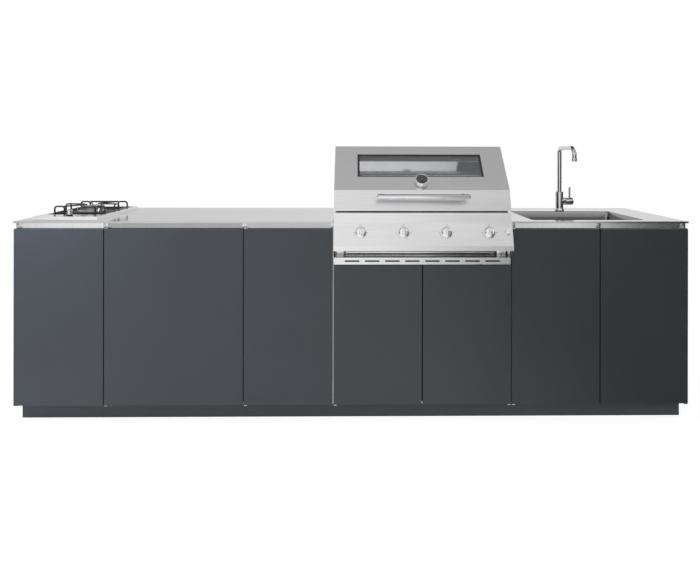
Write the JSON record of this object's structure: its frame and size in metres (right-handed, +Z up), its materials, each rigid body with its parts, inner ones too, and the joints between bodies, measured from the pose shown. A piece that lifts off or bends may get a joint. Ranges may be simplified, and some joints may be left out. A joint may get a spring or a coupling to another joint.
{
  "type": "outdoor kitchen island",
  "caption": "Outdoor kitchen island: charcoal cabinets under stainless benches, with a gas hob, a hooded gas grill and a sink with a mixer tap.",
  "frame": {"origin": "on the floor, midway between the island's left and right ends and midway between its frontmost and rearmost points", "axes": "+X to the right for someone in front of the doors, +Y from the doors to the back, +Z up"},
  "size_m": [3.02, 0.6814, 1.248],
  "materials": {
    "charcoal_coat": "fine-texture powder coat",
    "bench_steel": "brushed stainless, fine grain",
    "cabinet_steel": "satin stainless",
    "hood_steel": "brushed stainless, long grain",
    "chrome_parts": "polished",
    "cast_iron": "matt black, seasoned",
    "enamel": "gloss black enamel",
    "dark_glass": "clear, smoke tinted",
    "brass": "plain machined",
    "white_plastic": "moulded"
  },
  "bodies": {
    "island": {"end_panel_left": "charcoal_coat", "end_panel_right": "charcoal_coat", "rear_panel_left": "charcoal_coat", "rear_panel_right": "charcoal_coat", "kickboard_front": "charcoal_coat", "kickboard_rear": "charcoal_coat", "kickboard_left": "charcoal_coat", "kickboard_right": "charcoal_coat", "hob_tray": "bench_steel", "bench_left": "bench_steel", "bench_right": "bench_steel", "bench_rear_strip": "bench_steel", "sink_bowl": "bench_steel", "carcass_hob": "cabinet_steel", "carcass_wide": "cabinet_steel", "carcass_store": "cabinet_steel", "carcass_grill": "cabinet_steel", "carcass_sink": "cabinet_steel", "shelf_store": "cabinet_steel", "foot_rail_front": "cabinet_steel", "foot_rail_rear": "cabinet_steel", "vent_strip": "cabinet_steel", "firebox": "cabinet_steel", "tube_burner_1": "cabinet_steel", "tube_burner_2": "cabinet_steel", "tube_burner_3": "cabinet_steel", "tube_burner_4": "cabinet_steel", "hob_burner": "cabinet_steel", "control_panel": "hood_steel", "tap_body": "chrome_parts", "hob_burner_cap": "enamel", "gas_manifold": "brass", "hob_valve": "brass", "waste_trap": "white_plastic"},
    "door_hob": {"door_hob": "charcoal_coat"},
    "door_wide": {"door_wide": "charcoal_coat"},
    "door_store": {"door_store": "charcoal_coat"},
    "door_grill_left": {"door_grill_left": "charcoal_coat"},
    "door_grill_right": {"door_grill_right": "charcoal_coat"},
    "door_sink_left": {"door_sink_left": "charcoal_coat"},
    "door_sink_right": {"door_sink_right": "charcoal_coat"},
    "hood": {"hood": "hood_steel", "hood_window": "dark_glass", "thermometer": "chrome_parts", "hood_handle": "chrome_parts"},
    "burner_knob_1": {"burner_knob_1": "chrome_parts"},
    "burner_knob_2": {"burner_knob_2": "chrome_parts"},
    "burner_knob_3": {"burner_knob_3": "chrome_parts"},
    "burner_knob_4": {"burner_knob_4": "chrome_parts"},
    "ignition_button": {"ignition_button": "white_plastic"},
    "hob_knob": {"hob_knob": "chrome_parts"},
    "tap_spout": {"tap_spout": "chrome_parts"},
    "tap_cap": {"tap_cap": "chrome_parts"},
    "tap_lever": {"tap_lever": "chrome_parts"},
    "basket_strainer": {"basket_strainer": "bench_steel"},
    "pan_support": {"pan_support": "cast_iron"},
    "cooking_grate": {"cooking_grate": "cast_iron"},
    "hotplate": {"hotplate": "cast_iron"},
    "warming_rack": {"warming_rack": "bench_steel"},
    "drip_tray": {"drip_tray": "enamel"}
  },
  "joints": [
    {"name": "door_hob_hinge", "type": "hinge", "parent": "island", "child": "door_hob", "pos_m": [-1.4995, -0.26828, 0.478], "axis": [0, 0, -1], "range_deg": [0, 90]},
    {"name": "door_wide_hinge", "type": "hinge", "parent": "island", "child": "door_wide", "pos_m": [-1.0995, -0.26828, 0.478], "axis": [0, 0, -1], "range_deg": [0, 90]},
    {"name": "door_store_hinge", "type": "hinge", "parent": "island", "child": "door_store", "pos_m": [-0.4795, -0.26828, 0.478], "axis": [0, 0, -1], "range_deg": [0, 90]},
    {"name": "door_grill_left_hinge", "type": "hinge", "parent": "island", "child": "door_grill_left", "pos_m": [-0.0795, -0.26828, 0.4], "axis": [0, 0, -1], "range_deg": [0, 90]},
    {"name": "door_grill_right_hinge", "type": "hinge", "parent": "island", "child": "door_grill_right", "pos_m": [0.6995, -0.26828, 0.4], "axis": [0, 0, 1], "range_deg": [0, 90]},
    {"name": "door_sink_left_hinge", "type": "hinge", "parent": "island", "child": "door_sink_left", "pos_m": [0.7205, -0.26828, 0.478], "axis": [0, 0, -1], "range_deg": [0, 90]},
    {"name": "door_sink_right_hinge", "type": "hinge", "parent": "island", "child": "door_sink_right", "pos_m": [1.4995, -0.26828, 0.478], "axis": [0, 0, 1], "range_deg": [0, 90]},
    {"name": "hood_hinge", "type": "hinge", "parent": "island", "child": "hood", "pos_m": [0.31, 0.20572, 0.965], "axis": [-1, 0, 0], "range_deg": [0, 85]},
    {"name": "burner_knob_1_turn", "type": "hinge", "parent": "island", "child": "burner_knob_1", "pos_m": [0.033, -0.31018, 0.86116], "axis": [0, -0.9527, 0.304], "range_deg": [0, 180]},
    {"name": "burner_knob_2_turn", "type": "hinge", "parent": "island", "child": "burner_knob_2", "pos_m": [0.223, -0.31018, 0.86116], "axis": [0, -0.9527, 0.304], "range_deg": [0, 180]},
    {"name": "burner_knob_3_turn", "type": "hinge", "parent": "island", "child": "burner_knob_3", "pos_m": [0.413, -0.31018, 0.86116], "axis": [0, -0.9527, 0.304], "range_deg": [0, 180]},
    {"name": "burner_knob_4_turn", "type": "hinge", "parent": "island", "child": "burner_knob_4", "pos_m": [0.603, -0.31018, 0.86116], "axis": [0, -0.9527, 0.304], "range_deg": [0, 180]},
    {"name": "ignition_press", "type": "slide", "parent": "island", "child": "ignition_button", "axis": [0, 0.9527, -0.304], "range_m": [0, 0.005], "stiffness_N_per_m": 300, "springref_m": -0.003},
    {"name": "hob_knob_turn", "type": "hinge", "parent": "island", "child": "hob_knob", "pos_m": [-1.296, -0.20328, 0.924], "axis": [0, 0, 1], "range_deg": [0, 180]},
    {"name": "tap_spout_swivel", "type": "hinge", "parent": "island", "child": "tap_spout", "pos_m": [1.095, 0.19772, 1.007], "axis": [0, 0, 1], "range_deg": [-120, 120]},
    {"name": "tap_cap_turn", "type": "hinge", "parent": "island", "child": "tap_cap", "pos_m": [1.123, 0.19772, 0.955], "axis": [1, 0, 0], "range_deg": [-45, 45]},
    {"name": "tap_lever_tilt", "type": "hinge", "parent": "tap_cap", "child": "tap_lever", "pos_m": [1.149, 0.19772, 0.955], "axis": [0, 1, 0], "range_deg": [0, 20]},
    {"name": "basket_strainer_lift", "type": "slide", "parent": "island", "child": "basket_strainer", "axis": [0, 0, 1], "range_m": [0, 0.08]},
    {"name": "pan_support_lift", "type": "slide", "parent": "island", "child": "pan_support", "axis": [0, 0, 1], "range_m": [0, 0.08]},
    {"name": "cooking_grate_lift", "type": "slide", "parent": "island", "child": "cooking_grate", "axis": [0, 0, 1], "range_m": [0, 0.06]},
    {"name": "hotplate_lift", "type": "slide", "parent": "island", "child": "hotplate", "axis": [0, 0, 1], "range_m": [0, 0.06]},
    {"name": "warming_rack_lift", "type": "slide", "parent": "island", "child": "warming_rack", "axis": [0, 0, 1], "range_m": [0, 0.05]},
    {"name": "drip_tray_pull", "type": "slide", "parent": "island", "child": "drip_tray", "axis": [0, -1, 0], "range_m": [0, 0.36]}
  ]
}
